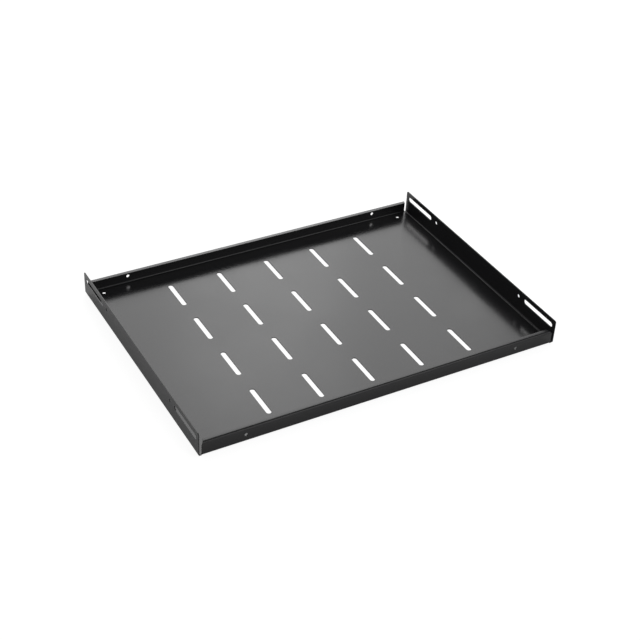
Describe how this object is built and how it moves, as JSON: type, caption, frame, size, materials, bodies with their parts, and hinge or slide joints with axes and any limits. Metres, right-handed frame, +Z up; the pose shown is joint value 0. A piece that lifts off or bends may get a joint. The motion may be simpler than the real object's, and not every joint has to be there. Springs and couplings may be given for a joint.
{
  "type": "fixed rack shelf",
  "caption": "Shallow folded sheet-metal rack shelf with slotted deck, low lipped front and back walls, and higher side walls with long mounting slots for four posts.",
  "frame": {"origin": "middle of the deck's underside, at the bottom of the part", "axes": "+Z up, out of the open tray; +X along the front, from the left side wall to the right one; +Y from the front wall to the back wall"},
  "size_m": [0.49, 0.352, 0.033],
  "materials": {
    "powder_coat": "black semi-gloss powder coat on steel, smooth with a very fine orange peel"
  },
  "bodies": {
    "root": {"shelf_tray": "powder_coat"}
  },
  "joints": []
}
